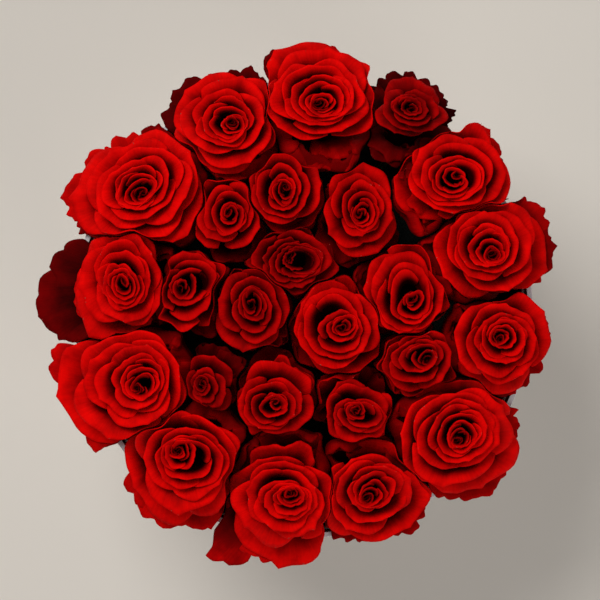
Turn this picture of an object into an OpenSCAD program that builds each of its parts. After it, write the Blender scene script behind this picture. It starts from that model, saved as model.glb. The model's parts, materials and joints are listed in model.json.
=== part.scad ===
// Round flower box: a paper-covered board drum, a lift-out liner with floral foam,
// and short-stemmed roses that stand in the foam and close over the rim.
// Millimetres, +Z up, origin at the centre of the underside.

/* [Box] */
// Outer diameter of the box, over the cover paper
box_d = 230; // [200:1:280]
// Height of the box, from the table to the rim
box_h = 140; // [120:1:180]
// Thickness of the board that the wall is rolled from
board_t = 2; // [1.5:0.1:3]
// Thickness of the board disc of the base
base_t = 2; // [1.5:0.1:4]
// Thickness of the cover paper
paper_t = 0.3; // [0.2:0.05:0.6]
// How far the cover paper is turned in below the rim
turn_in = 18; // [8:1:30]
// How far the cover paper is turned under the base
turn_under = 14; // [8:1:30]
// How far the base paper stays inside the foot of the wall
base_paper_inset = 1; // [0.5:0.5:5]

/* [Liner] */
// Running gap between the papered wall and the liner
liner_gap = 0.8; // [0.4:0.1:2]
// Wall thickness of the liner
liner_t = 0.6; // [0.4:0.1:1.2]
// Floor thickness of the liner
liner_floor_t = 1; // [0.6:0.1:2]
// How far the liner's edge stays below the rim of the box
liner_drop = 4; // [1:0.5:10]
// Radius of the rolled bead along the liner's edge
bead_r = 0.8; // [0.7:0.1:1.5]

/* [Foam] */
// How far the top of the foam stays below the rim of the box
foam_drop = 28; // [24:1:50]
// Gap between the foam and the liner's wall
foam_gap = 0.4; // [0.2:0.1:1]
// Turn of the joint between the two foam blocks
joint_turn = 44; // [0:1:180]
// How far the joint between the two foam blocks lies off the middle
joint_offset = -2; // [-10:0.5:10]

/* [Roses] */
// Diameter of the widest flower head
head_d = 72; // [60:1:80]
// Height of the middle of the dome of roses above the rim
dome_rise = 44; // [38:1:60]
// How much lower the roses' tips stand above the rim than in the middle
dome_drop = 9; // [0:1:16]
// Depth below the table of the point that every stem points to
fan_depth = 88; // [60:1:200]
// Gap between neighbouring flower heads
head_gap = 0.8; // [0.6:0.1:2]
// Thickness of a petal
petal_t = 0.8; // [0.6:0.1:1.2]
// Height of a closed bud; an open head adds a share of its diameter to it
bud_h = 22; // [18:1:26]

/* [Stems] */
// Diameter of a stem
stem_d = 5; // [3:0.5:7]
// Depth that a stem reaches into the foam
stem_depth = 55; // [30:1:70]
// Radial clearance between a stem and its hole in the foam
stem_clear = 0.08; // [0.02:0.01:0.1]
// Diameter of the hip, where the petals are rooted
hip_d = 10; // [8:0.5:12]
// Height of the hip
hip_h = 9; // [7:0.5:12]
// Thickness of a sepal
sepal_t = 0.7; // [0.5:0.1:1.2]
// How far a sepal's tip hangs below the hip's top
sepal_sag = 4; // [2:0.5:6]

/* [Hidden] */
// One row for each rose: the place of its tip, across and along the box, in hundredths of the
// box's radius, and the diameter of its head in hundredths of the widest
ROSES = [
    // outer ring, from the back of the box and then counter-clockwise
    [6.5, 88.5, 89], [-31, 80, 81], [-69, 50.5, 100], [-75.5, 12, 100], [-71, -33, 98],
    [-52, -61.5, 92], [-7, -79.5, 94], [27.5, -79, 86], [65, -55, 89], [84.5, -13, 81],
    [79.5, 24.5, 90], [65, 56.5, 81], [46.5, 84.5, 64],
    // middle ring
    [-8.5, 51, 66], [-32, 41, 65], [-52, 8.5, 66], [-42, -32.5, 56], [-13, -40, 70],
    [21.5, -44, 66], [51.5, -21.5, 68], [45, 4, 78], [24, 41.5, 72],
    // the three at the middle
    [-6.5, 21.5, 68], [-22, 1, 70], [15.5, -8.5, 78]
];
N = len(ROSES);
$fn = 96;
Petals = "crimson";
Leaf = "darkolivegreen";
Board = "tan";
Paper = "lavender";

function two(i) = str(i < 9 ? "0" : "", i + 1);
function petals_name(i) = str("rose_", two(i), "_petals");
function stem_name(i) = str("rose_", two(i), "_stem");

// ---- the box, from the outside in and from the table up ----
cover_r = box_d / 2;
board_r = cover_r - paper_t;
bore_r = board_r - board_t;
lined_r = bore_r - paper_t;
cover_bottom = paper_t;
board_bottom = cover_bottom + paper_t;
base_top = board_bottom + base_t;
board_top = box_h - paper_t;

// ---- the insert ----
liner_r = lined_r - liner_gap;
liner_bore_r = liner_r - liner_t;
liner_top = box_h - liner_drop;
bead_z = liner_top - bead_r;
foam_bottom = base_top + liner_floor_t;
foam_top = box_h - foam_drop;
foam_r = liner_bore_r - foam_gap;

// ---- where each rose stands: every axis runs through one point below the box ----
FAN = [0, 0, -fan_depth];
reach = 3 * box_d;
head_h_share = 0.36;
function unit(v) = v / norm(v);
function head_r(i) = head_d / 2 * ROSES[i][2] / 100;
function head_h(i) = bud_h + head_h_share * 2 * head_r(i);
function tip(i) =
    let (x = ROSES[i][0] / 100, y = ROSES[i][1] / 100)
    [cover_r * x, cover_r * y, box_h + dome_rise - dome_drop * (x * x + y * y)];
function axis(i) = unit(tip(i) - FAN);
function tip_l(i) = norm(tip(i) - FAN);
function neck_l(i) = tip_l(i) - head_h(i);
function foam_l(i) = (foam_top + fan_depth) / axis(i)[2];
function stem_end_l(i) = foam_l(i) - stem_depth;

// The wedge between two neighbours is shared out by the size of their heads
function between(i, j) = acos(min(1, axis(i) * axis(j)));
function share(i, j) = between(i, j) * head_r(i) / (head_r(i) + head_r(j));
function across(i, j) = unit(axis(j) - (axis(j) * axis(i)) * axis(i));
function facing(i, j) = let (a = share(i, j)) cos(a) * across(i, j) - sin(a) * axis(i);
function meets(i, j) = i != j && tip_l(i) * tan(share(i, j)) < widest_r(i) + head_gap;

// Stands its children on the fan point, with +Z along the axis of a rose and without a twist
module along(i) {
    a = axis(i);
    turn = atan2(a[1], a[0]);
    translate(FAN) rotate([0, acos(a[2]), turn]) rotate([0, 0, -turn]) children();
}

// Everything past the plane that parts two neighbours, and half of the gap between them
module past(i, j) {
    n = facing(i, j);
    translate(FAN) rotate([0, -asin(n[2]), atan2(n[1], n[0])])
        translate([-head_gap / 2, -reach / 2, -reach / 2]) cube(reach);
}

// ---- box ----
module box_wall() {
    color(Board) rotate_extrude()
        translate([bore_r, board_bottom]) square([board_t, board_top - board_bottom]);
}

module box_base() {
    color(Board) translate([0, 0, board_bottom]) cylinder(r = bore_r, h = base_t);
}

// The paper goes round an edge of the board in an arc of its own thickness
function fold(r, z, from, to) =
    [for (a = [from : (to - from) / 4 : to]) [r + paper_t * cos(a), z + paper_t * sin(a)]];

// One sheet: up the outside, over the rim, down the inside, and under the base
module cover_paper() {
    color(Paper) rotate_extrude() polygon(concat(
        [[board_r - turn_under, cover_bottom]],
        fold(board_r, board_bottom, -90, 0),
        fold(board_r, board_top, 0, 90),
        fold(bore_r, board_top, 90, 180),
        [[lined_r, box_h - turn_in], [bore_r, box_h - turn_in], [bore_r, board_top],
         [board_r, board_top], [board_r, board_bottom], [board_r - turn_under, board_bottom]]
    ));
}

module base_paper() {
    color(Paper) cylinder(r = board_r - base_paper_inset, h = paper_t);
}

// ---- insert ----
// A thin pot with a chamfered foot and a bead along its edge
module liner() {
    color("gainsboro") rotate_extrude() union() {
        polygon([[0, base_top], [liner_r - liner_floor_t, base_top], [liner_r, foam_bottom],
                 [liner_r, bead_z], [liner_bore_r, bead_z],
                 [liner_bore_r, foam_bottom], [0, foam_bottom]]);
        translate([liner_r - bead_r, bead_z]) circle(r = bead_r);
    }
}

module stem_hole(i) {
    along(i) translate([0, 0, stem_end_l(i) - stem_clear])
        cylinder(d = stem_d + 2 * stem_clear, h = stem_depth + stem_d);
}

// One block, cut round to the liner: side is 1 past the joint and -1 before it
module foam_block(side) {
    color("seagreen") difference() {
        translate([0, 0, foam_bottom]) cylinder(r = foam_r, h = foam_top - foam_bottom);
        rotate([0, 0, joint_turn]) translate([joint_offset - side * reach / 2, 0, 0])
            cube(reach, center = true);
        for (i = [0 : N - 1]) stem_hole(i);
    }
}

// ---- flower heads ----
// Number of petals of the widest head, and the golden angle from one petal to the next
widest_petals = 10;
petal_step = 137.5;
// How far round the head the innermost and the outermost petal wrap
wrap_in = 213;
wrap_out = 147;
// Shares of the head's radius: the bud, the petals' roots and their lean, and the base
bud_share = 0.2;
root_share = 0.4;
lean_share = 0.35;
base_share = 0.46;
// Shares of the head's height: the petals' roots, the top of the base, and the outermost drop
root_z = 0.12;
base_z = 0.2;
edge_drop = 0.42;
// The guard petal of a rose by the rim opens outward over it: its reach as a share of the head's
// radius, its height as a share of the head's, and how far round the head it goes
guard_reach = 1.2;
guard_z = 0.62;
guard_wrap = 150;
// Shares of the box's radius: past the first a rose has a guard petal, unless the petal would
// reach past the second, where the head alone covers the rim
guard_from = 0.7;
guard_limit = 1.21;
// Side view of the closed bud, from its foot up, in shares of bud_share and of the head's height
BUD = [[0.8, base_z], [1.1, 0.6], [0.9, 0.94], [0.4, 1], [0, 0.96]];

function bend(a, b, c, s) = (1 - s) * (1 - s) * a + 2 * s * (1 - s) * b + s * s * c;

// Side view of the petal that is the share f of the way out from the bud
function petal_line(i, f) =
    let (r = head_r(i) * (bud_share + (1 - bud_share) * sin(90 * f)))
    let (h = head_h(i), z = h * (1 - edge_drop * f * f))
    [for (s = [0 : 0.25 : 1])
        bend([root_share * r, root_z * h], [(1 - lean_share * f * f) * r, z / 2], [r, z], s)];

module petal(i, f) {
    sheet(petal_line(i, f), wrap_in + (wrap_out - wrap_in) * f);
}

module guard_petal(i) {
    outward = atan2(axis(i)[1], axis(i)[0]);
    rotate([0, 0, outward - guard_wrap / 2]) sheet(guard_line(i), guard_wrap);
}

function tip_r(i) = norm([tip(i)[0], tip(i)[1]]);
function has_guard(i) =
    tip_r(i) > guard_from * cover_r && tip_r(i) + guard_reach * head_r(i) < guard_limit * cover_r;
function widest_r(i) = has_guard(i) ? guard_reach * head_r(i) : head_r(i);

// Side view of the guard petal
function guard_line(i) =
    let (r = head_r(i), h = head_h(i))
    [for (s = [0 : 0.25 : 1])
        bend([root_share * r, root_z * h], [guard_reach * (1 - lean_share) * r, guard_z * h / 2],
             [guard_reach * r, guard_z * h], s)];

module sheet(outside, wrap) {
    inside = [for (k = [len(outside) - 1 : -1 : 0]) outside[k] - [petal_t, 0]];
    rotate_extrude(angle = wrap) polygon(concat(outside, inside));
}

// The base that every petal is rooted in, and the closed bud
module flower_heart(i) {
    r = head_r(i);
    h = head_h(i);
    rotate_extrude() polygon(concat(
        [[0, 0], [hip_d / 2, 0], [base_share * r, root_z * h], [base_share * r, base_z * h]],
        [for (p = BUD) [p[0] * bud_share * r, p[1] * h]]
    ));
}

module rose_petals(i) {
    count = round(widest_petals * ROSES[i][2] / 100);
    color(Petals) difference() {
        along(i) translate([0, 0, neck_l(i)]) {
            flower_heart(i);
            for (k = [1 : count]) rotate([0, 0, petal_step * k]) petal(i, k / count);
            if (has_guard(i)) guard_petal(i);
        }
        for (j = [0 : N - 1]) if (meets(i, j)) past(i, j);
    }
}

// ---- stems ----
// Length of a sepal as a share of the head's radius, and how far round the hip it is rooted
sepal_share = 0.5;
sepal_wrap = 34;

// A sepal also stays inside its rose's own share of the room between two neighbours
function room(i) = (neck_l(i) - sepal_sag - sepal_t)
    * tan(min([for (j = [0 : N - 1]) if (j != i) share(i, j)])) - head_gap;
function sepal_r(i) = min(sepal_share * head_r(i), room(i));

// Stem, hip and five sepals, which hang a little below the petals
module rose_stem(i) {
    root = [hip_d / 2 - sepal_t, hip_h - sepal_t];
    end = [sepal_r(i), hip_h - sepal_sag];
    color(Leaf) along(i) {
        translate([0, 0, stem_end_l(i)])
            cylinder(d = stem_d, h = neck_l(i) - hip_h / 2 - stem_end_l(i));
        translate([0, 0, neck_l(i) - hip_h]) {
            cylinder(d1 = stem_d, d2 = hip_d, h = hip_h);
            for (k = [0 : 4])
                rotate([0, 0, 72 * k]) rotate_extrude(angle = sepal_wrap)
                    polygon([root, root - [0, sepal_t], end - [0, sepal_t], end]);
        }
    }
}

box_wall();
box_base();
cover_paper();
base_paper();
liner();
foam_block(-1);  // foam_left
foam_block(1);  // foam_right
for (i = [0 : N - 1]) {
    rose_petals(i);
    rose_stem(i);
}
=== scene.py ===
"""A round flower box: red roses in floral foam, in a liner that lifts out of a papered board drum.

The frame is in metres. The tables and the maths of petals and stems are in millimetres, and their
directions are in degrees, anticlockwise from +X as seen from above.
"""

import json
import math
from collections import namedtuple

import bmesh
import bpy
import numpy as np
from mathutils import Matrix, Vector


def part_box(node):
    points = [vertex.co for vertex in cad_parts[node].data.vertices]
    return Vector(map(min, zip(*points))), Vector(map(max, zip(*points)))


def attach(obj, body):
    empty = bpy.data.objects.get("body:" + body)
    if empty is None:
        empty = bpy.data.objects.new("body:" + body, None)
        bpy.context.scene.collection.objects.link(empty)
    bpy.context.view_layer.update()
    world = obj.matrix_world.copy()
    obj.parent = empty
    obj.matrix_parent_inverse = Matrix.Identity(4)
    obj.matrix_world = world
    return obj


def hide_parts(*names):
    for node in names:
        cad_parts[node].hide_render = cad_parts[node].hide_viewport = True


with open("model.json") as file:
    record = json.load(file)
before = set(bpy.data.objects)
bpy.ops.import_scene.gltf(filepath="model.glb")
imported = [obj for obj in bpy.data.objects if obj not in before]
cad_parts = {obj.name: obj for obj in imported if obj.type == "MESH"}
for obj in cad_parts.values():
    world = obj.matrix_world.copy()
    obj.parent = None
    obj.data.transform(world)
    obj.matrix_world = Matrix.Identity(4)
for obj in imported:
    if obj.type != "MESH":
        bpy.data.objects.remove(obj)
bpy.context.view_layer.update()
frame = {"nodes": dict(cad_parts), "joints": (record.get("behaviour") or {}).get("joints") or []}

MM = 0.001
GOLDEN = math.radians(137.5)
UP = Vector((0, 0, 1))

# One row for each rose, in the order of the CAD nodes:
# head size in hundredths of the widest; reach of the outer petals from the swirl, in mm, to the
# left, right, back and front; petals; cup depth in mm; turn of the first petal; hand of the spiral;
# long way of the eye and its narrow share; tone of the colour, lower where it paints shade on the
# roses in the middle of the box
Look = namedtuple("Look", "size reach petals cup turn hand eye tone")
ROSES = [
    Look(89, (30, 32, 30, 19), 28, 5, 20, 1, (15, 0.86), 1.0),
    Look(81, (29, 22, 27, 25), 26, 5, 75, -1, (160, 0.84), 0.98),
    Look(100, (35, 28, 30, 29), 28, 7, 200, 1, (35, 0.78), 1.0),
    Look(100, (28, 18, 25, 27), 28, 6, 120, 1, (110, 0.8), 0.96),
    Look(98, (36, 24, 27, 31), 28, 6, 300, -1, (30, 0.86), 1.0),
    Look(92, (25, 28, 22, 38), 26, 6, 45, -1, (20, 0.84), 0.97),
    Look(94, (27, 24, 17, 32), 28, 5, 160, 1, (0, 0.88), 1.0),
    Look(86, (20, 30, 24, 26), 26, 5, 250, -1, (20, 0.82), 0.97),
    Look(89, (27, 34, 27, 28), 28, 5, 330, 1, (25, 0.84), 1.0),
    Look(81, (23, 24, 23, 24), 26, 5, 95, -1, (170, 0.82), 0.98),
    Look(90, (25, 27, 28, 21), 28, 5, 230, 1, (10, 0.84), 1.0),
    Look(81, (29, 26, 30, 22), 26, 7, 15, -1, (10, 0.8), 1.0),
    Look(64, (18, 20, 18, 11), 20, 11, 140, 1, (170, 0.8), 0.74),
    Look(66, (18, 19, 27, 19), 21, 6, 60, 1, (95, 0.82), 0.88),
    Look(65, (21, 16, 22, 19), 20, 6, 280, -1, (70, 0.84), 0.88),
    Look(66, (14, 25, 22, 22), 19, 10, 190, 1, (40, 0.8), 0.86),
    Look(56, (12, 15, 13, 15), 18, 7, 110, -1, (90, 0.84), 0.74),
    Look(70, (17, 23, 20, 17), 21, 6, 350, 1, (10, 0.84), 0.88),
    Look(66, (12, 22, 15, 19), 21, 6, 240, 1, (150, 0.8), 0.86),
    Look(68, (26, 18, 15, 20), 21, 7, 30, -1, (30, 0.8), 0.84),
    Look(78, (23, 24, 30, 17), 23, 7, 170, 1, (60, 0.82), 0.93),
    Look(72, (18, 18, 22, 20), 22, 6, 310, -1, (80, 0.82), 0.88),
    Look(68, (20, 28, 16, 18), 23, 8, 85, 1, (60, 0.8), 0.74),
    Look(70, (20, 19, 22, 20), 20, 12, 215, -1, (110, 0.86), 0.78),
    Look(78, (22, 24, 25, 20), 25, 5, 5, 1, (20, 0.88), 0.93),
]
WIDEST = 72
# Low guard petals at the foot of a head: rose, direction, reach from the swirl in mm, half of its
# width, droop of its rim, and tone, which is partly the guard's own darker red and partly painted
# shade
GUARDS = [
    (0, 140, 38, 28, 95, 0.5), (0, 118, 32, 30, 95, 0.8), (0, 85, 32, 34, 95, 0.9),
    (0, 35, 30, 30, 95, 0.8), (1, 178, 36, 28, 105, 0.4), (1, 148, 35, 30, 105, 0.45),
    (1, 112, 29, 34, 100, 0.8), (1, 74, 31, 28, 100, 0.45), (2, 182, 43, 22, 100, 0.9),
    (2, 205, 37, 26, 100, 0.75), (2, 118, 33, 26, 100, 0.85), (2, 155, 36, 30, 100, 0.9),
    (3, 200, 51, 32, 105, 0.5), (3, 170, 42, 32, 100, 0.45), (3, 232, 45, 26, 100, 0.5),
    (4, 182, 39, 30, 100, 0.85), (4, 236, 42, 30, 100, 0.8), (4, 160, 49, 26, 100, 0.85),
    (4, 268, 33, 28, 100, 0.8), (5, 190, 28, 30, 105, 0.75), (5, 228, 38, 28, 105, 0.8),
    (5, 254, 42, 34, 100, 0.9), (5, 288, 42, 28, 100, 0.85), (6, 214, 54, 28, 105, 0.75),
    (6, 236, 40, 30, 100, 0.85), (6, 266, 35, 34, 100, 0.9), (6, 298, 30, 30, 100, 0.8),
    (7, 238, 29, 30, 100, 0.7), (7, 272, 27, 36, 100, 0.8), (7, 325, 33, 30, 105, 0.75),
    (8, 264, 33, 32, 100, 0.8), (8, 305, 37, 34, 100, 0.8), (8, 345, 35, 32, 100, 0.75),
    (8, 20, 36, 26, 100, 0.8), (9, 5, 28, 34, 100, 0.85), (9, 322, 28, 32, 100, 0.8),
    (9, 290, 29, 26, 100, 0.8), (10, 6, 37, 32, 105, 0.62), (10, 36, 38, 30, 105, 0.72),
    (10, 340, 31, 30, 100, 0.75), (10, 62, 36, 24, 105, 0.6), (11, 52, 32, 32, 100, 0.8),
    (11, 10, 29, 32, 100, 0.65), (11, 84, 37, 26, 100, 0.75), (11, 112, 28, 28, 100, 0.7),
    (12, 50, 21, 36, 100, 0.55), (12, 112, 24, 36, 100, 0.5), (12, 8, 22, 26, 100, 0.45),
    (12, 150, 22, 26, 100, 0.4), (12, 330, 20, 28, 100, 0.45),
]
# Single petals that stand open beside a head: as the guards, with the lean of their foot, and how
# high their rim stands as a share of the head
OPENED = [
    (18, 125, 25, 42, 60, 0.95, 12, 0.72), (6, 100, 27, 52, 62, 0.95, 12, 0.7),
    (24, 115, 27, 50, 62, 1.0, 12, 0.8), (21, 92, 31, 46, 72, 0.85, 20, 0.6),
    (15, 75, 25, 50, 78, 0.7, 15, 0.66), (5, 300, 31, 38, 75, 0.95, 22, 0.62),
    (5, 240, 30, 36, 75, 0.95, 20, 0.66), (11, 215, 29, 36, 80, 0.85, 26, 0.6),
    (19, 192, 26, 44, 62, 0.9, 12, 0.75), (17, 55, 23, 40, 60, 0.9, 14, 0.75),
    (23, 300, 24, 38, 72, 0.85, 22, 0.62), (3, 215, 31, 40, 78, 0.9, 24, 0.6),
    (1, 275, 31, 46, 88, 0.85, 26, 0.56), (0, 300, 32, 40, 85, 0.8, 26, 0.56),
    (22, 175, 24, 40, 70, 0.8, 16, 0.66), (22, 350, 26, 46, 60, 0.7, 14, 0.66),
]
# Where the petals of a head gape: rose, share of the way out, direction, and mm
GAPES = [
    (0, 0.45, 300, 1.5), (1, 0.5, 270, 2), (2, 0.3, 25, 3), (2, 0.6, 190, 2.5), (3, 0.4, 350, 2),
    (4, 0.3, 40, 2.5), (5, 0.5, 350, 5), (6, 0.7, 100, 5), (7, 0.35, 90, 1.5), (8, 0.3, 100, 2),
    (9, 0.35, 200, 2), (10, 0.5, 45, 1), (11, 0.45, 20, 5), (12, 0.5, 200, 1), (13, 0.4, 60, 2),
    (14, 0.45, 120, 1.5), (15, 0.5, 15, 6), (16, 0.4, 90, 1), (17, 0.4, 200, 2),
    (18, 0.45, 350, 5), (18, 0.75, 125, 4), (19, 0.45, 190, 3), (20, 0.5, 105, 6),
    (21, 0.45, 100, 2), (22, 0.35, 350, 7), (23, 0.35, 90, 2.5), (24, 0.65, 115, 6),
]
GAPE_WIDTH = 0.85
# Roses whose rims are crinkled more than the rest
CRINKLED = {12: 1.5, 15: 1.7, 22: 3.2, 17: 1.3}
# Which head lies over its neighbour where two meet: a higher number is over a lower one
RANK = [24, 14, 19, 20, 22, 15, 21, 12, 23, 13, 18, 17, 3, 11, 9, 4, 1, 10, 6, 5, 16, 8, 2, 7, 25]

# The faces that part two heads: up to what angle between their axes, in radians; how far they bow
# and over what half width; how far and how fast they wave; and how far heads stay off them
NEAR_ENOUGH = 0.7
BOW_MOST = 1.8
BOW_HALF = 13.0
WAVE_MOST = 0.9
WAVE_MM = 2.7
WAVE_PHASE = 2.4
HEAD_GAP = 0.4
# How softly a petal flattens against them, and how much of a push past the first 2 mm draws a low
# petal back
SOFTNESS = 1.5
DRAWN_BACK = 0.55
DRAWN_FROM = 2
# Petals that overhang the box are lifted from RIM_GAP above RIM_Z on, so none comes down to it,
# eased in over a band about RIM_R
RIM_R = 106.0
RIM_Z = 142.2
RIM_GAP = 4
RIM_BAND = (-8, 2)

# Steps of a petal's sheet across and up, the share of it where its lip starts, and its thickness
ACROSS = 26
UP_STEPS = 17
MIDDLE = ACROSS // 2
LIP_FROM = 0.5
PETAL_T = 0.45
# What changes from a head's innermost petal to its outermost one, and with what power:
# half of its width round the swirl; how far out its rim is, as a share; length of its lip; lean of
# the lip at the shoulder and at the rim; how far down from its rim the painted light reaches before
# painted shade takes over; its root's distance from the middle, and height as a share of the head;
# and how far its wall bulges
HALF_TURN = (138, 66, 0.55)
RIM_OUT = (0.04, 1.0, 1.95)
LIP_LENGTH = (1.8, 14.5, 1.5)
LIP_FOOT_LEAN = (2, 36, 1.2)
LIP_RIM_LEAN = (6, 92, 1.25)
PAINTED_LIGHT_DOWN = (2.2, 14.5, 1.3)
ROOT_R = (0.8, 6.5, 1)
ROOT_UP = (0.16, 0.02, 1)
BULGE = (8, 66, 0.8)
# How much petals vary: share of their half width; how far out, and how skewed, their rim is, in
# spacings of the petals; turn, in radians; share of the lip's length; and lean and height of the
# rim
HALF_VARIES = (0.92, 1.08)
RIM_VARIES = (-1, 1)
SKEW_VARIES = (-0.1, 0.8)
TURN_VARIES = (-0.16, 0.16)
LIP_VARIES = (0.8, 1.2)
LEAN_VARIES = (-13, 13)
TOP_VARIES = (-0.8, 0.8)
# The heart is one rolled petal: half of its turn, and its radius at its two edges
HEART_HALF_TURN = 200
HEART_R = (0.35, 1.0)
HEART_SHARE = 0.05
# A share of a wall's length, which sets how full its curve is
FULLNESS = 0.38
# A head's least height, and its gain by its width; the share of its dome that is level, and how
# far the rest falls off; how much past its reach it spreads; and how far its rings drift sideways
HEAD_H_LEAST = 22
HEAD_H_SHARE = 0.36
DOME_LEVEL = 0.2
DOME_FALL = 0.42
FILL = 1.24
DRIFT = 0.07
# How far waves turn across half a petal, in radians: slow ones, a guard petal's, the fine ruffle's
SLOW = (2, 7)
GUARD_SLOW = (3, 8)
FINE = (12, 26)
ANY_PHASE = 6.3

# Low petals in two rounds, on the side of a head that faces the others: how many; how far out they
# may point; half of their width; their reach, as a share of the head, on its outer and inner side;
# how much less the upper round reaches; and for the lower and the upper round the lean of the foot,
# the droop of the rim and the tone, which is painted shade for the low petals in the shade of the
# heads
UNDER = 12
OUTWARD = 0.02
UNDER_HALF = 40
UNDER_REACH = (1.05, 1.5)
UNDER_REACH_LESS = 0.12
UNDER_LEAN = (52, 38)
UNDER_DROOP = (82, 88)
UNDER_PAINTED_SHADE = (0.58, 0.72)
GUARD_LEAN = 48
GUARD_ROOT_R = 5

# Stems; the rings that shape the hip below the neck; and the joints, between these two distances
# below the neck, with the rings that swell them
STEM_R = 2.5
STEM_IN_FOAM = 55
STEM_SIDES = 18
HIP_R = 4.9
HIP_RINGS = [0.5, 1, 1.7, 2.6, 3.6, 4.8, 6, 7.2, 8.4, 9.6, 11]
JOINTS_AT = [(13, 17), (24, 32)]
JOINT_RINGS = (-1.8, -0.8, 0, 0.8, 1.8)
JOINT_SWELL = 0.35
SEPAL_COUNT = 5
SEPAL_HALF = 2.9
SEPAL_SAG = 3.6
SEPAL_T = 0.5
PRICKLES = 5
PRICKLE_R = 1.3
PRICKLE_LONG = 3.4

# The cover paper's lap: its width, how far it stops short of the foot and the rim, its thickness,
# and how far it is off the wall
LAP_MM = 14
LAP_INSET = 1.2
LAP_T = 0.3
LAP_OFF_WALL = 0.02


def spread(a, b, s):
    return a + (b - a) * s


def ease(a, b, x):
    s = np.clip((x - a) / (b - a), 0, 1)
    return s * s * (3 - 2 * s)


def hump(x, at, width):
    return np.exp(-(((x - at) / width) ** 2))


def by_ring(change, t):
    """A size that changes from the innermost petal, at t = 0, to the outermost, at t = 1."""
    inner, outer, power = change
    return spread(inner, outer, t ** power)


def finished(bm, name):
    """An object at the origin with what a bmesh has made."""
    mesh = bpy.data.meshes.new(name)
    bm.to_mesh(mesh)
    bm.free()
    o = bpy.data.objects.new(name, mesh)
    bpy.context.collection.objects.link(o)
    return o


# ---- where each rose stands in the frame ----
def rose_name(i):
    return f"rose_{i + 1:02d}"


def vertices_of(node):
    mesh = frame["nodes"][node].data
    co = np.empty(len(mesh.vertices) * 3)
    mesh.vertices.foreach_get("co", co)
    return co.reshape(-1, 3) / MM


def find_axes():
    """Each rose's axis, how far up it the neck and the stem's foot are, and its sepals' reach.

    All axes pass through one point under the box, the fan point, and heights are from there.
    """
    pulls = {j["child"]: np.array(j["axis"], float) for j in frame["joints"]}
    axes, feet, necks, reaches = [], [], [], []
    for i in range(len(ROSES)):
        a = pulls[rose_name(i)]
        a = a / np.linalg.norm(a)
        v = vertices_of(rose_name(i) + "_stem")
        up = v @ a
        foot = np.unique(np.round(v[up < up.min() + 0.05], 3), axis=0)
        axes.append(a)
        feet.append(foot.mean(0))
        necks.append(v[up > up.max() - 0.05].mean(0))
        off = v - feet[-1]
        reaches.append(np.linalg.norm(off - np.outer(off @ a, a), axis=1).max())
    lhs, rhs = np.zeros((3, 3)), np.zeros(3)
    for a, p in zip(axes, feet):
        across = np.eye(3) - np.outer(a, a)
        lhs += across
        rhs += across @ p
    fan = np.linalg.solve(lhs, rhs)
    heights = [[(p - fan) @ a for p, a in zip(places, axes)] for places in (necks, feet)]
    return np.array(axes), fan, heights[0], heights[1], reaches


AXES, FAN, NECKS, FEET, SEPALS = find_axes()


def head_r(i):
    return WIDEST / 2 * ROSES[i].size / 100


def turned(i):
    """The untwisted turn from +Z to the axis of a rose."""
    return np.array(UP.rotation_difference(Vector(AXES[i])).to_matrix())


def parting_faces(i):
    """The faces that part a rose from its neighbours: normal, sideways direction, bow, wave, phase.

    They pass through the fan point, so a rose that is pulled stays on its own side. A face bows
    towards the head that RANK puts under, so the one it puts over keeps its round outline.
    """
    out = []
    for j in range(len(ROSES)):
        between = math.acos(min(1, AXES[i] @ AXES[j]))
        if i == j or between > NEAR_ENOUGH:
            continue
        part = between * head_r(i) / (head_r(i) + head_r(j))
        side = AXES[j] - (AXES[j] @ AXES[i]) * AXES[i]
        side /= np.linalg.norm(side)
        normal = math.cos(part) * side - math.sin(part) * AXES[i]
        # both neighbours take the same wavy face, read the same way round
        first, sign = (i, 1) if i < j else (j, -1)
        along = np.cross(AXES[first], AXES[i + j - first])
        along /= np.linalg.norm(along)
        bow = BOW_MOST if RANK[i] > RANK[j] else -BOW_MOST
        out.append((normal, along, bow, sign * WAVE_MOST, WAVE_PHASE * (i + j)))
    return out


# ---- petals ----
# One petal: its sheet round the swirl, how far each place is across and up it, its layer in the
# head, how much painted light or painted shade its colour takes, how much it bends to face up, and
# whether it lies low
Petal = namedtuple("Petal", "sheet across along layer lit bend low")


def grid():
    u = np.linspace(-1, 1, ACROSS + 1)[:, None] * np.ones((1, UP_STEPS + 1))
    v = np.linspace(0, 1, UP_STEPS + 1)[None, :] * np.ones((ACROSS + 1, 1))
    return u, v


def waves(u, slow_fast, rng):
    return sum(
        rng.uniform(0.4, 1) * np.sin(u * rng.uniform(*slow_fast) + rng.uniform(0, ANY_PHASE))
        for _ in range(3)
    )


def kinks(u, rng):
    """A zigzag across a petal, for the soft folds of its rim."""
    return abs((u * rng.uniform(1.2, 2.2) + rng.uniform(0, 2)) % 2 - 1) - 0.5


def painted_shade_from_rim(r, z, width):
    """Painted light on a petal: full at the rim, fading to painted shade some way down its sheet.
    """
    step = np.hypot(np.diff(r, axis=1), np.diff(z, axis=1))
    down = np.cumsum(step[:, ::-1], axis=1)[:, ::-1]
    down = np.concatenate([down, np.zeros((len(r), 1))], axis=1)
    return np.exp(-((down / width) ** 1.9))


def crown(x):
    """Height of the head's dome at a share x of its radius: level, then falling off."""
    f = math.asin(min(1, max(0, (x - DOME_LEVEL) / (1 - DOME_LEVEL)))) * 2 / math.pi
    return 1 - DOME_FALL * f * f


def gaping(i, t, angle):
    """How far a petal stands out, or in, to leave the crescents where the head gapes."""
    out = 0
    for rose, at, direction, mm in GAPES:
        if rose == i:
            off = (angle - math.radians(direction) + math.pi) % (2 * math.pi) - math.pi
            move = (1 - (t - at) / (1 - at)) ** 0.8 if t > at else -0.35 * t / at
            out = out + mm * move * hump(off, 0, GAPE_WIDTH)
    return out


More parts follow.
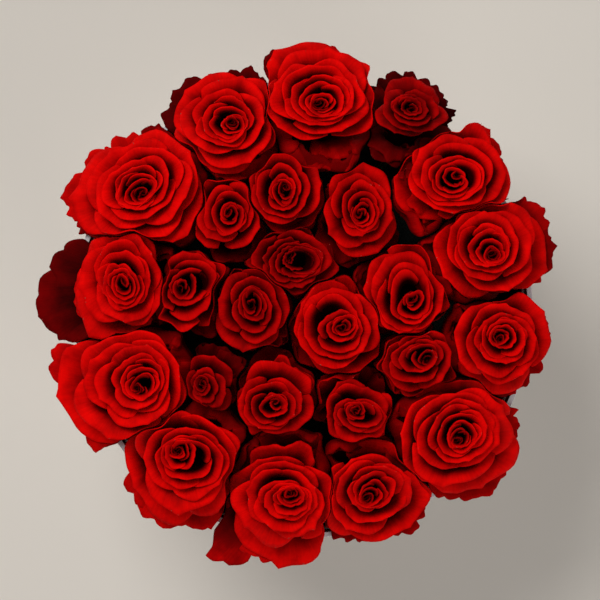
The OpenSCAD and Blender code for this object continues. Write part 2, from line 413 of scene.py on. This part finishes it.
def petal_rim(i, k, t, u, mean_r, rng):
    """The direction, and the distance from the swirl, of each place along a petal's rim."""
    look = ROSES[i]
    spacing = mean_r / look.petals
    if k == 0:
        half = math.radians(HEART_HALF_TURN)
        rim_r = mean_r * HEART_SHARE * spread(*HEART_R, (u + 1) / 2)
    else:
        half = math.radians(by_ring(HALF_TURN, t)) * rng.uniform(*HALF_VARIES)
        rim_r = mean_r * by_ring(RIM_OUT, t) + spacing * rng.uniform(*RIM_VARIES) * min(1, 3 * t)
        rim_r = rim_r + rng.uniform(*SKEW_VARIES) * spacing * u * look.hand
        # flat in its middle, with two soft corners
        corners = spread(0.15, 0.03, min(1, t * 1.6))
        rim_r = rim_r * (1 + corners * (hump(abs(u), 0.5, 0.24) - 0.45))
    angle = math.radians(look.turn) + look.hand * (GOLDEN * k) + rng.uniform(*TURN_VARIES)
    angle = angle + half * u
    return angle, rim_r + gaping(i, t, angle)


def petal_lip(t, u, v, scale, rng):
    """The upper part of a petal, out and up from its shoulder, and its lean at the shoulder."""
    length = by_ring(LIP_LENGTH, t) * scale * rng.uniform(*LIP_VARIES)
    lean_in = math.radians(by_ring(LIP_FOOT_LEAN, t))
    lean_out = math.radians(by_ring(LIP_RIM_LEAN, t) + rng.uniform(*LEAN_VARIES) * min(1, 2 * t))
    # the two corners roll back further, the sides are shorter, and the tip is a small point
    lean_out = lean_out + math.radians(18) * t * hump(abs(u), 0.55, 0.22)
    sides = 1 - 0.42 * abs(u) ** 4
    tip = 1 + 0.2 * t * np.exp(-abs(u) / 0.09)
    length = length * sides * tip
    s = np.clip((v - LIP_FROM) / (1 - LIP_FROM), 0, 1)
    lean = lean_in + (lean_out - lean_in) * s ** 1.5
    step = length / (UP_STEPS * (1 - LIP_FROM)) * (v > LIP_FROM + 1e-6)
    return np.cumsum(np.sin(lean) * step, axis=1), np.cumsum(np.cos(lean) * step, axis=1), lean_in


def curve(w, start, leaving, arriving, end):
    return (
        (1 - w) ** 3 * start + 3 * w * (1 - w) ** 2 * leaving
        + 3 * w * w * (1 - w) * arriving + w ** 3 * end
    )


def head_petal(i, k, height, mean_r, drift, rng):
    """The petal number k of a head, counted from its heart."""
    look = ROSES[i]
    t = k / (look.petals - 1)
    scale = look.size / 100
    u, v = grid()
    angle, rim_r = petal_rim(i, k, t, u, mean_r, rng)
    lip_r, lip_z, lean_in = petal_lip(t, u, v, scale, rng)

    # the shoulder, and the wall that rises to it from the neck
    cup = look.cup * (1 - float(ease(0.05, 0.5, t)))
    top = height * crown(float(np.mean(rim_r)) / mean_r) - cup
    top = top + rng.uniform(*TOP_VARIES) * t - 0.05 * height * abs(u) ** 3
    shoulder_r = np.maximum(rim_r - lip_r[MIDDLE, -1], 0.5)
    shoulder_z = top - lip_z[MIDDLE, -1]
    root_r = by_ring(ROOT_R, t) * scale
    root_z = height * by_ring(ROOT_UP, t)
    bulge = math.radians(by_ring(BULGE, t))
    full = FULLNESS * np.hypot(shoulder_r - root_r, shoulder_z - root_z)
    leaving_r, leaving_z = root_r + math.sin(bulge) * full, root_z + math.cos(bulge) * full
    arriving_r = shoulder_r - math.sin(lean_in) * full
    arriving_z = shoulder_z - math.cos(lean_in) * full
    w = np.clip(v / LIP_FROM, 0, 1)
    r = lip_r + curve(w, root_r, leaving_r, arriving_r, shoulder_r)
    z = lip_z + curve(w, root_z, leaving_z, arriving_z, shoulder_z)
    # painted shade: the colour darkens down the sheet from the rim, for the shade in the crevices
    lit = painted_shade_from_rim(r, z, by_ring(PAINTED_LIGHT_DOWN, t) * scale)

    # waves, kinks and ruffles of the rim
    grow = ease(0.35, 1.0, v)
    wave = waves(u, SLOW, rng)
    kink = kinks(u, rng)
    ruffle = waves(u, FINE, rng) * ease(0.75, 1, v) * CRINKLED.get(i, 1)
    strength = min(1, 0.25 + t) * scale
    r = r + strength * (grow * (0.6 * wave + 1.1 * kink) * t + 0.15 * ruffle)
    z = z + strength * (grow * 0.5 * np.roll(wave, ACROSS // 3, axis=0) * t + 0.21 * ruffle)
    sheet = place_petal(r, z, angle, look, mean_r)
    # rings of petals don't share one centre: they crowd on one side and gape on the other
    sheet[..., :2] += drift(t) * ease(0.2, 0.7, z / height)[..., None]
    return Petal(sheet, u, v, t, lit, ease(0.1, 0.55, z / height), 0.0)


def place_petal(r, z, angle, look, mean_r):
    """The head spreads further where it has room, and its eye is narrower one way."""
    left, right, back, front = look.reach
    eye_turn, eye_narrow = look.eye
    c, s = np.cos(angle), np.sin(angle)
    wide = np.where(c > 0, right, left)
    deep = np.where(s > 0, back, front)
    outline = FILL / np.sqrt((c / wide) ** 2 + (s / deep) ** 2) / mean_r
    share = np.clip(r / mean_r, 0, 1.2) ** 1.2
    r = r * (1 + (outline - 1) * share)
    x, y = r * c, r * s
    e = math.radians(eye_turn)
    near = (eye_narrow - 1) * (1 - np.clip(share, 0, 1))
    off = -x * math.sin(e) + y * math.cos(e)
    x = x - near * off * math.sin(e)
    y = y + near * off * math.cos(e)
    return np.stack([x, y, z], -1)


def guard_petal(direction, reach, half, droop, tone, height, rng, rise=GUARD_LEAN, top=None):
    """A low petal at the foot of the head, opened outward over its neighbours or the rim."""
    u, v = grid()
    lean = spread(rise, droop, v ** 1.3) + 10 * hump(abs(u), 0.6, 0.25) * v
    lean = np.radians(lean)
    length = reach * 1.12 * (1 - 0.22 * abs(u) ** 3) * (1 + 0.04 * np.exp(-abs(u) / 0.1))
    step = length / UP_STEPS * (v > 1e-6)
    r = GUARD_ROOT_R + np.cumsum(np.sin(lean) * step, axis=1)
    z = 0.03 * height + np.cumsum(np.cos(lean) * step, axis=1)
    r = r * (reach / r[MIDDLE, -1])
    if top:
        z = z * (top * height / z[MIDDLE, -1])
    # painted shade: the guard's colour darkens down its sheet from the rim
    lit = painted_shade_from_rim(r, z, 0.5 * reach)

    # waves, kinks, ruffles and the shallow lobes of a worn rim
    wave = waves(u, GUARD_SLOW, rng)
    kink = kinks(u, rng)
    ruffle = waves(u, FINE, rng) * ease(0.7, 1, v)
    grow = ease(0.4, 1.0, v)
    lobes = abs(np.sin(u * rng.uniform(3.5, 5.5) + rng.uniform(0, 3))) ** 0.5 - 0.7
    lobes = lobes * ease(0.55, 1, v)
    r = r + grow * (0.6 * wave + 0.8 * kink) + 3.0 * lobes + 0.4 * ruffle
    z = z + grow * 0.8 * np.roll(wave, ACROSS // 3, axis=0) + 0.3 * ruffle
    angle = math.radians(direction) + math.radians(half) * u
    sheet = np.stack([r * np.cos(angle), r * np.sin(angle), z], -1)
    # the guard's tone, partly its own darker red and partly painted shade, scales its painted light
    return Petal(sheet, u, v, 1.0, tone * lit, ease(0.1, 0.85, v), 1.0)


def under_petals(i, height, mean_r, rng):
    """Two rounds of low petals, which fill the foot of a head where it leans on others."""
    out = []
    for k in range(UNDER):
        direction = ROSES[i].turn + 40 + 720 / UNDER * k + rng.uniform(-10, 10)
        high = k // (UNDER // 2)
        aim = math.radians(direction)
        outward = math.cos(aim) * AXES[i][0] + math.sin(aim) * AXES[i][1]
        reach = spread(*UNDER_REACH, min(1, max(0, -outward / 0.25))) - UNDER_REACH_LESS * high
        petal = guard_petal(
            direction, reach * mean_r, UNDER_HALF, UNDER_DROOP[high], UNDER_PAINTED_SHADE[high],
            height, rng, rise=UNDER_LEAN[high],
        )
        if outward < OUTWARD:
            out.append(petal)
    return out


def face_up(i, p, height, bend):
    """A leaning head turns its face up: its low petals stand as far out as its tip does."""
    slope = AXES[i][:2] / AXES[i][2]
    shift = np.maximum(height - p[..., 2], 0) * bend
    p = p.copy()
    p[..., :2] += shift[..., None] * slope
    return p


def keep_room(i, p, low):
    """Petals flatten softly against the bowed faces between heads, and stay above the box's rim.

    A low petal that is pressed flat is also drawn back, so it doesn't end in a long thin tip.
    """
    faces = parting_faces(i)
    normals = np.array([face[0] for face in faces])

    def past_faces(p):
        off = p - FAN
        bowed = [
            np.clip(bow * (1 - (off @ along / BOW_HALF) ** 2), -BOW_MOST, BOW_MOST)
            + wave * np.sin(off @ along / WAVE_MM + phase)
            for _, along, bow, wave, phase in faces
        ]
        return off @ normals.T + HEAD_GAP - np.array(bowed).T

    # rounded where two faces meet, as a petal is
    for first in (True, False, False, False):
        past = past_faces(p)
        most = past.max(1, keepdims=True)
        share = np.exp((past - most) / SOFTNESS)
        whole = most[:, 0] + SOFTNESS * np.log(share.sum(1))
        way = (share @ normals) / share.sum(1, keepdims=True)
        if first:
            deep = np.maximum(whole + SOFTNESS, 0)
            push = deep - SOFTNESS * (1 - np.exp(-deep / SOFTNESS))
        else:
            push = np.maximum(whole, 0)
        p = p - (push / np.maximum((way ** 2).sum(1), 0.25))[:, None] * way
        if first:
            off = p - FAN
            off -= np.outer(off @ AXES[i], AXES[i])
            out = np.linalg.norm(off, axis=1)
            back = np.minimum(DRAWN_BACK * np.maximum(push - DRAWN_FROM, 0) * low, 0.45 * out)
            p = p - (back / np.maximum(out, 1))[:, None] * off
    for _ in range(3):
        past = np.maximum(past_faces(p), 0)
        worst = past.argmax(1)
        p = p - past[np.arange(len(p)), worst][:, None] * normals[worst]
    out = np.hypot(p[..., 0], p[..., 1])
    over_rim = ease(RIM_R + RIM_BAND[0], RIM_R + RIM_BAND[1], out)
    short = RIM_Z + RIM_GAP - p[..., 2]
    lift = short - RIM_GAP * (1 - np.exp(-np.maximum(short, 0) / RIM_GAP))
    p[..., 2] += np.where(short > 0, lift, 0) * over_rim
    return p


def make_rose(i):
    look = ROSES[i]
    rng = np.random.default_rng(100 + i)
    height = HEAD_H_LEAST + HEAD_H_SHARE * 2 * head_r(i)
    mean_r = sum(look.reach) / 4 * FILL
    phase, turns = rng.uniform(0, ANY_PHASE, 2), rng.uniform(5, 8, 2)

    def drift(t):
        return DRIFT * mean_r * 4 * t * (1 - t) * np.sin(turns * t + phase)

    petals = [head_petal(i, k, height, mean_r, drift, rng) for k in range(look.petals)]
    petals += under_petals(i, height, mean_r, rng)
    petals += [guard_petal(*g[1:], height, rng) for g in GUARDS if g[0] == i]
    petals += [guard_petal(*o[1:6], height, rng, *o[6:]) for o in OPENED if o[0] == i]

    # a flat grid for each petal, one above the other, tells a vertex its petal and its place in it
    bm = bmesh.new()
    for k in range(len(petals)):
        bmesh.ops.create_grid(
            bm, x_segments=ACROSS, y_segments=UP_STEPS, size=1, matrix=Matrix.Translation((0, 0, k))
        )
    rose = finished(bm, rose_name(i) + "_bloom")
    mesh = rose.data
    flat = np.empty(len(mesh.vertices) * 3)
    mesh.vertices.foreach_get("co", flat)
    flat = flat.reshape(-1, 3)
    a = np.rint((flat[:, 0] + 1) / 2 * ACROSS).astype(int)
    b = np.rint((flat[:, 1] + 1) / 2 * UP_STEPS).astype(int)
    k = np.rint(flat[:, 2]).astype(int)

    def at_vertices(part):
        values = np.stack([getattr(petal, part) for petal in petals])
        return values[k, a, b] if values.ndim > 1 else values[k]

    local = face_up(i, at_vertices("sheet"), height, at_vertices("bend"))
    neck = FAN + NECKS[i] * AXES[i]
    world = keep_room(i, neck + local @ turned(i).T, at_vertices("low"))
    mesh.vertices.foreach_set("co", (world * MM).ravel())
    marks = {part: at_vertices(part) for part in ("across", "along", "layer", "lit")}
    # painted shade: each rose's tone darkens the roses in the middle of the box
    marks["tone"] = np.full(len(flat), look.tone)
    for name, values in marks.items():
        mark = mesh.attributes.new(name, "FLOAT", "POINT")
        mark.data.foreach_set("value", values.astype(float))
    mesh.shade_smooth()
    skin = rose.modifiers.new("thickness", "SOLIDIFY")
    skin.thickness = PETAL_T * MM
    skin.offset = 0
    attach(rose, rose_name(i))
    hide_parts(rose_name(i) + "_petals")
    return rose


# ---- stems, made upright with the neck at the origin ----
def stem_r(down, joints):
    """Radius of the stem at a distance below the neck: the hip, the joints, then plain."""
    hip = (HIP_R - STEM_R) * np.exp(-((np.maximum(down - 2.4, 0) / 4.2) ** 2.4))
    top = 0.9 * ease(1.5, 0, down)
    joint = sum(JOINT_SWELL * hump(down, at, 1.1) for at in joints)
    return STEM_R + hip - top + joint


def about(turn, out, sideways, z):
    """A place at a distance out from the stem's axis in one direction, and sideways of it."""
    return (
        out * math.cos(turn) - sideways * math.sin(turn),
        out * math.sin(turn) + sideways * math.cos(turn),
        z,
    )


def add_sepals(bm, blush, reach_most, rng):
    """Pointed sepals with a small lobe on their edges, which hang below the petals."""
    for k in range(SEPAL_COUNT):
        grown = bmesh.ops.create_grid(bm, x_segments=6, y_segments=12, size=1)["verts"]
        turn = math.radians(360 / SEPAL_COUNT * k + rng.uniform(-6, 6))
        reach = reach_most * rng.uniform(0.9, 1)
        lobe = rng.uniform(0.3, 0.6)
        twist = rng.uniform(-0.5, 0.5)
        root = HIP_R - 0.9
        for vert in grown:
            side, s = vert.co.x, (vert.co.y + 1) / 2
            half = SEPAL_HALF * min(1, 0.6 + 3 * s) * (1 - s ** 1.6)
            half *= 1 + 0.3 * hump(s, lobe, 0.07)
            arch = (0.6 + twist * side) * math.sin(math.pi * s) - 0.5 * side * side
            z = -0.5 - SEPAL_SAG * s ** 1.7 + arch
            vert.co = about(turn, spread(root, reach, s), half * side, z)
            vert[blush] = 0.35 * abs(side) * s
    bmesh.ops.remove_doubles(bm, verts=bm.verts, dist=0.01)
    bmesh.ops.recalc_face_normals(bm, faces=bm.faces)
    bmesh.ops.solidify(bm, geom=bm.faces[:], thickness=SEPAL_T)


def add_stalk(bm, length, bare, rng):
    """Stem and hip: a cone cut into rings, each ring set to its own radius."""
    stalk = bmesh.ops.create_cone(
        bm, cap_ends=True, segments=STEM_SIDES, radius1=1, radius2=1, depth=length,
        matrix=Matrix.Translation((0, 0, -length / 2)),
    )["verts"]
    edges = list({e for v in stalk for e in v.link_edges})
    faces = list({f for v in stalk for f in v.link_faces})
    joints = [d for d in [rng.uniform(*at) for at in JOINTS_AT] if d < bare - 3]
    rings = HIP_RINGS + [d + o for d in joints for o in JOINT_RINGS]
    rings += [bare, bare + 20, bare + 40]
    for down in sorted(rings):
        cut = bmesh.ops.bisect_plane(
            bm, geom=stalk + edges + faces, plane_co=(0, 0, -down), plane_no=(0, 0, 1)
        )
        both = cut["geom"] + cut["geom_cut"]
        stalk = list(dict.fromkeys(g for g in both if isinstance(g, bmesh.types.BMVert)))
        edges = list({e for v in stalk for e in v.link_edges})
        faces = list({f for v in stalk for f in v.link_faces})
    for vert in stalk:
        grow = float(stem_r(np.array(-vert.co.z), joints)) / math.hypot(vert.co.x, vert.co.y)
        vert.co.x *= grow
        vert.co.y *= grow


def add_prickles(bm, blush, bare, rng):
    """Prickles hooked down, only where the stem stands clear of the foam."""
    for _ in range(PRICKLES):
        down, turn = rng.uniform(12, max(13, bare - 6)), rng.uniform(0, 2 * math.pi)
        size = rng.uniform(0.8, 1.2)
        long = PRICKLE_LONG * size
        prickle = bmesh.ops.create_cone(
            bm, cap_ends=True, segments=8, radius1=PRICKLE_R * size, radius2=0.12, depth=long
        )["verts"]
        for vert in prickle:
            out = (vert.co.z / long + 0.5) * 3.0 * size
            tall, wide = vert.co.x * 1.5 - 0.16 * out * out, vert.co.y * 0.6
            vert.co = about(turn, STEM_R - 0.35 + out, wide, -down + tall)
            vert[blush] = 0.4 + 0.6 * out / long


def make_stem(i):
    rng = np.random.default_rng(500 + i)
    length = NECKS[i] - FEET[i]
    bare = length - STEM_IN_FOAM
    bm = bmesh.new()
    blush = bm.verts.layers.float.new("blush")
    add_sepals(bm, blush, SEPALS[i] - 0.4, rng)
    add_stalk(bm, length, bare, rng)
    add_prickles(bm, blush, bare, rng)
    place = Matrix(turned(i).tolist()).to_4x4()
    place.translation = Vector(FAN + NECKS[i] * AXES[i])
    bmesh.ops.transform(bm, matrix=Matrix.Scale(MM, 4) @ place, verts=bm.verts)
    stem = finished(bm, rose_name(i) + "_stalk")
    stem.data.shade_smooth()
    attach(stem, rose_name(i))
    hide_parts(rose_name(i) + "_stem")
    return stem


def make_cover_lap():
    """The cover paper's own end, which laps over its start in a strip up the back of the box."""
    low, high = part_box("cover_paper")
    wall_r, foot, rim = high[0], low[2], high[2]
    bm = bmesh.new()
    bmesh.ops.create_grid(bm, x_segments=12, y_segments=1, size=1)
    for vert in bm.verts:
        turn = math.pi / 2 + vert.co.x * LAP_MM / 2 * MM / wall_r
        z = spread(foot + LAP_INSET * MM, rim - LAP_INSET * MM, (vert.co.y + 1) / 2)
        vert.co = about(turn, wall_r + LAP_OFF_WALL * MM, 0, z)
    bmesh.ops.recalc_face_normals(bm, faces=bm.faces)
    for face in bm.faces:
        if face.normal.y < 0:
            face.normal_flip()
    lap = finished(bm, "cover_lap")
    sheet = lap.modifiers.new("thickness", "SOLIDIFY")
    sheet.thickness = LAP_T * MM
    sheet.offset = 1
    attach(lap, "box")
    return lap


# ---- materials ----
def srgb(code):
    parts = [int(code[i : i + 2], 16) / 255 for i in (1, 3, 5)]
    return [c / 12.92 if c <= 0.04045 else ((c + 0.055) / 1.055) ** 2.4 for c in parts] + [1]


def add(owner, kind, links=(), sockets=None, stops=(), **settings):
    """Adds a node. links: (input, node, output); sockets: values; stops: a ramp's place, colour."""
    node = owner.node_tree.nodes.new(kind)
    for key, value in settings.items():
        setattr(node, key, value)
    for key, value in (sockets or {}).items():
        node.inputs[key].default_value = value
    for into, source, out in links:
        owner.node_tree.links.new(source.outputs[out], node.inputs[into])
    for place, (at, code) in enumerate(stops):
        if place >= len(node.color_ramp.elements):
            node.color_ramp.elements.new(at)
        node.color_ramp.elements[place].position = at
        node.color_ramp.elements[place].color = srgb(code)
    return node


def new_material(name, sockets):
    mat = bpy.data.materials.new(name)
    mat.use_nodes = True
    bsdf = mat.node_tree.nodes["Principled BSDF"]
    for key, value in sockets.items():
        bsdf.inputs[key].default_value = value
    return mat, bsdf


def rose_petal():
    """Fresh red rose petal, grown: a matt velvet of raised cells over thin wet flesh.

    That gives the eye a soft sheen and no highlight, cloudy patches and faint veins, and a few dry
    flecks along the edge. Its colour also carries painted shade: a clear red at the lip that sinks
    to near black at its foot.
    """
    mat, bsdf = new_material("velvet_petal", {
        "Roughness": 0.62, "IOR": 1.4, "Specular IOR Level": 0.18,
        "Specular Tint": srgb("#FF5A4A"), "Sheen Weight": 0.12, "Sheen Roughness": 0.4,
        "Sheen Tint": srgb("#E01010"),
    })
    link = mat.node_tree.links.new
    along = add(mat, "ShaderNodeAttribute", attribute_name="along")
    across = add(mat, "ShaderNodeAttribute", attribute_name="across")
    layer = add(mat, "ShaderNodeAttribute", attribute_name="layer")
    tone = add(mat, "ShaderNodeAttribute", attribute_name="tone")
    lit = add(mat, "ShaderNodeAttribute", attribute_name="lit")
    place = add(mat, "ShaderNodeTexCoord")

    # painted shade: the inner petals are painted darker for the shade they lie in, and each rose
    # has its own tone, which also paints shade
    inner = add(
        mat, "ShaderNodeMapRange", [("Value", layer, "Fac")],
        {"From Min": 0.0, "From Max": 0.4, "To Min": 0.3},
    )
    shade = add(mat, "ShaderNodeMath", [(0, lit, "Fac"), (1, inner, 0)], operation="MULTIPLY")
    shade = add(mat, "ShaderNodeMath", [(0, shade, 0), (1, tone, "Fac")], operation="MULTIPLY")
    # clouds of deeper and clearer red, 9 mm across
    cloud = add(
        mat, "ShaderNodeTexNoise", [("Vector", place, "Object")], {"Scale": 110, "Detail": 3}
    )
    cloudy = add(
        mat, "ShaderNodeMapRange", [("Value", cloud, "Fac")],
        {"From Min": 0.3, "From Max": 0.7, "To Min": 0.82, "To Max": 1.08},
    )
    shade = add(mat, "ShaderNodeMath", [(0, shade, 0), (1, cloudy, 0)], operation="MULTIPLY")
    # veins that fan out along the petal, about 1 mm apart at the lip, each a little darker
    fan = add(mat, "ShaderNodeMath", [(0, across, "Fac")], {1: 26}, operation="MULTIPLY")
    way = add(
        mat, "ShaderNodeCombineXYZ", [("X", fan, 0), ("Y", along, "Fac"), ("Z", layer, "Fac")]
    )
    vein = add(mat, "ShaderNodeTexNoise", [("Vector", way, 0)], {"Scale": 1.0, "Detail": 2})
    veined = add(
        mat, "ShaderNodeMapRange", [("Value", vein, "Fac")],
        {"From Min": 0.3, "From Max": 0.7, "To Min": 0.95, "To Max": 1.03},
    )
    shade = add(mat, "ShaderNodeMath", [(0, shade, 0), (1, veined, 0)], operation="MULTIPLY")
    # the ramp paints the shade: near black where the petal is painted as shaded, clear red at its
    # lit rim
    red = add(
        mat, "ShaderNodeValToRGB", [("Fac", shade, 0)],
        stops=[(0, "#070001"), (0.27, "#240002"), (0.6, "#7E0002"), (1, "#EC0403")],
    )
    # dry brown-pink flecks on the very edge: 0.2 mm in life, drawn at 1 mm so that they show
    fleck = add(
        mat, "ShaderNodeTexNoise", [("Vector", place, "Object")], {"Scale": 900, "Detail": 1}
    )
    dry = add(mat, "ShaderNodeMath", [(0, fleck, "Fac")], {1: 0.75}, operation="GREATER_THAN")
    edge = add(mat, "ShaderNodeMath", [(0, along, "Fac")], {1: 0.975}, operation="GREATER_THAN")
    both = add(mat, "ShaderNodeMath", [(0, dry, 0), (1, edge, 0)], operation="MULTIPLY")
    flecked = add(
        mat, "ShaderNodeMix", [("Factor", both, 0), ("A", red, "Color")],
        {"B": srgb("#A2463A")}, data_type="RGBA",
    )
    link(flecked.outputs["Result"], bsdf.inputs["Base Color"])

    # the velvet's cells are 0.03 mm in life, drawn at 0.5 mm so that they show
    velvet = add(
        mat, "ShaderNodeTexNoise", [("Vector", place, "Object")], {"Scale": 2000, "Detail": 1}
    )
    bump = add(
        mat, "ShaderNodeBump", [("Height", vein, "Fac")], {"Strength": 0.35, "Distance": 0.4 * MM}
    )
    fine = add(
        mat, "ShaderNodeBump", [("Height", velvet, "Fac"), ("Normal", bump, 0)],
        {"Strength": 0.25, "Distance": 0.2 * MM},
    )
    link(fine.outputs["Normal"], bsdf.inputs["Normal"])
    return mat


def stem_skin():
    """Rose stem, hip and sepals: a waxy green skin, grown.

    That gives the eye a satin shine along the stem, light and dark green streaks lengthwise, and a
    red blush towards the prickles and the sepals' edges.
    """
    mat, bsdf = new_material("waxy_stem_skin", {"Roughness": 0.42, "IOR": 1.45})
    link = mat.node_tree.links.new
    place = add(mat, "ShaderNodeTexCoord")
    # streaks 1 mm across and 20 mm long
    drawn_out = add(
        mat, "ShaderNodeMapping", [("Vector", place, "Object")], {"Scale": (1, 1, 0.05)}
    )
    streak = add(
        mat, "ShaderNodeTexNoise", [("Vector", drawn_out, 0)], {"Scale": 1000, "Detail": 2}
    )
    green = add(
        mat, "ShaderNodeValToRGB", [("Fac", streak, "Fac")],
        stops=[(0.3, "#33501F"), (0.55, "#4A6B2A"), (0.75, "#6C8A3F")],
    )
    blush = add(mat, "ShaderNodeAttribute", attribute_name="blush")
    blushed = add(
        mat, "ShaderNodeMix", [("Factor", blush, "Fac"), ("A", green, "Color")],
        {"B": srgb("#7E3A24")}, data_type="RGBA",
    )
    link(blushed.outputs["Result"], bsdf.inputs["Base Color"])
    ribs = add(
        mat, "ShaderNodeBump", [("Height", streak, "Fac")], {"Strength": 0.4, "Distance": 0.2 * MM}
    )
    link(ribs.outputs["Normal"], bsdf.inputs["Normal"])
    return mat


def grained(name, code, grain_mm, depth_mm, darkest, sockets):
    """A material with one grain, which mottles its colour and roughens its face."""
    mat, bsdf = new_material(name, sockets)
    link = mat.node_tree.links.new
    place = add(mat, "ShaderNodeTexCoord")
    grain = add(
        mat, "ShaderNodeTexNoise", [("Vector", place, "Object")],
        {"Scale": 1 / (grain_mm * MM), "Detail": 4},
    )
    pale = srgb(code)
    mottled = add(
        mat, "ShaderNodeMix", [("Factor", grain, "Fac")],
        {"A": [c * darkest for c in pale[:3]] + [1], "B": pale}, data_type="RGBA",
    )
    link(mottled.outputs["Result"], bsdf.inputs["Base Color"])
    bump = add(
        mat, "ShaderNodeBump", [("Height", grain, "Fac")],
        {"Strength": 0.5, "Distance": depth_mm * MM},
    )
    link(bump.outputs["Normal"], bsdf.inputs["Normal"])
    return mat


def dress(node, mat):
    o = frame["nodes"][node]
    o.data.materials.clear()
    o.data.materials.append(mat)


# uncoated white paper, glued on: matt and even, with a faint fibre mottle of 0.9 mm
paper = grained(
    "uncoated_cover_paper", "#EDE9EA", grain_mm=0.9, depth_mm=0.05, darkest=0.955,
    sockets={"Roughness": 0.72, "IOR": 1.5},
)
# greyboard, wound from waste pulp: dull and warm grey, with specks of 1.5 mm
board = grained(
    "wound_greyboard", "#9C958A", grain_mm=1.5, depth_mm=0.12, darkest=0.78,
    sockets={"Roughness": 0.88, "IOR": 1.5},
)
# phenolic floral foam, cut and soaked: dark green and crumbly, painted near black to stand in for
# the shade in the gaps between the heads. Its pores are 0.2 mm in life, drawn at 0.7 mm so that
# they show
foam = grained(
    "wet_floral_foam_painted_shade", "#122117", grain_mm=0.7, depth_mm=0.6, darkest=0.5,
    sockets={"Roughness": 0.8, "IOR": 1.5},
)
# polypropylene, vacuum formed: milky, a little see-through, with a soft shine and slow waves of
# 7 mm where the sheet was drawn
plastic = grained(
    "formed_milky_polypropylene", "#DCE2DC", grain_mm=7, depth_mm=0.05, darkest=0.95,
    sockets={"Roughness": 0.38, "IOR": 1.49, "Transmission Weight": 0.3},
)
stem_green = stem_skin()
petal_red = rose_petal()

for node in ("cover_paper", "base_paper"):
    dress(node, paper)
for node in ("box_wall", "box_base"):
    dress(node, board)
for node in ("foam_left", "foam_right"):
    dress(node, foam)
dress("liner", plastic)
make_cover_lap().data.materials.append(paper)
for i in range(len(ROSES)):
    make_rose(i).data.materials.append(petal_red)
    make_stem(i).data.materials.append(stem_green)

# ---- floor, light and camera, in metres ----
bm = bmesh.new()
bmesh.ops.create_grid(bm, x_segments=1, y_segments=1, size=6)
floor = finished(bm, "floor")
# matt emulsion, rolled on: plain, warm and pale, with no pattern and no shine
floor_paint = new_material("pale_floor", {"Base Color": srgb("#D9D2C8"), "Roughness": 0.9})[0]
floor.data.materials.append(floor_paint)


def lamp(name, place, size, power):
    data = bpy.data.lights.new(name, "AREA")
    data.shape = "DISK"
    data.size = size
    data.energy = power
    o = bpy.data.objects.new(name, data)
    o.location = place
    o.rotation_euler = (Vector((0, 0, 0.1)) - Vector(place)).to_track_quat("-Z", "Y").to_euler()
    bpy.context.collection.objects.link(o)


lamp("key", place=(-0.9, 1.1, 2.0), size=1.3, power=35)
lamp("fill", place=(0.9, -1.3, 1.3), size=1.2, power=9)

# soft white light from all round; past the floor's edge shows the floor's own far shade
world = bpy.data.worlds.new("room")
world.use_nodes = True
soft = world.node_tree.nodes["Background"]
soft.inputs["Color"].default_value = (1, 1, 1, 1)
soft.inputs["Strength"].default_value = 0.29
far = add(world, "ShaderNodeBackground", sockets={"Color": srgb("#7F7C76"), "Strength": 1})
rays = add(world, "ShaderNodeLightPath")
seen = add(
    world, "ShaderNodeMath", [(0, rays, "Is Camera Ray"), (1, rays, "Is Glossy Ray")],
    operation="MAXIMUM",
)
seen = add(
    world, "ShaderNodeMath", [(0, seen, 0), (1, rays, "Is Transmission Ray")], operation="MAXIMUM"
)
room = add(
    world, "ShaderNodeMixShader", [(0, seen, 0), (1, soft, "Background"), (2, far, "Background")]
)
surface = world.node_tree.nodes["World Output"].inputs["Surface"]
world.node_tree.links.new(room.outputs[0], surface)
bpy.context.scene.world = world

camera = bpy.data.objects.new("camera", bpy.data.cameras.new("camera"))
camera.data.lens = 173
camera.data.sensor_width = 36
camera.location = (-0.0016, 0.0044, 1.585)
bpy.context.collection.objects.link(camera)
bpy.context.scene.camera = camera
bpy.context.scene.view_settings.view_transform = "Standard"
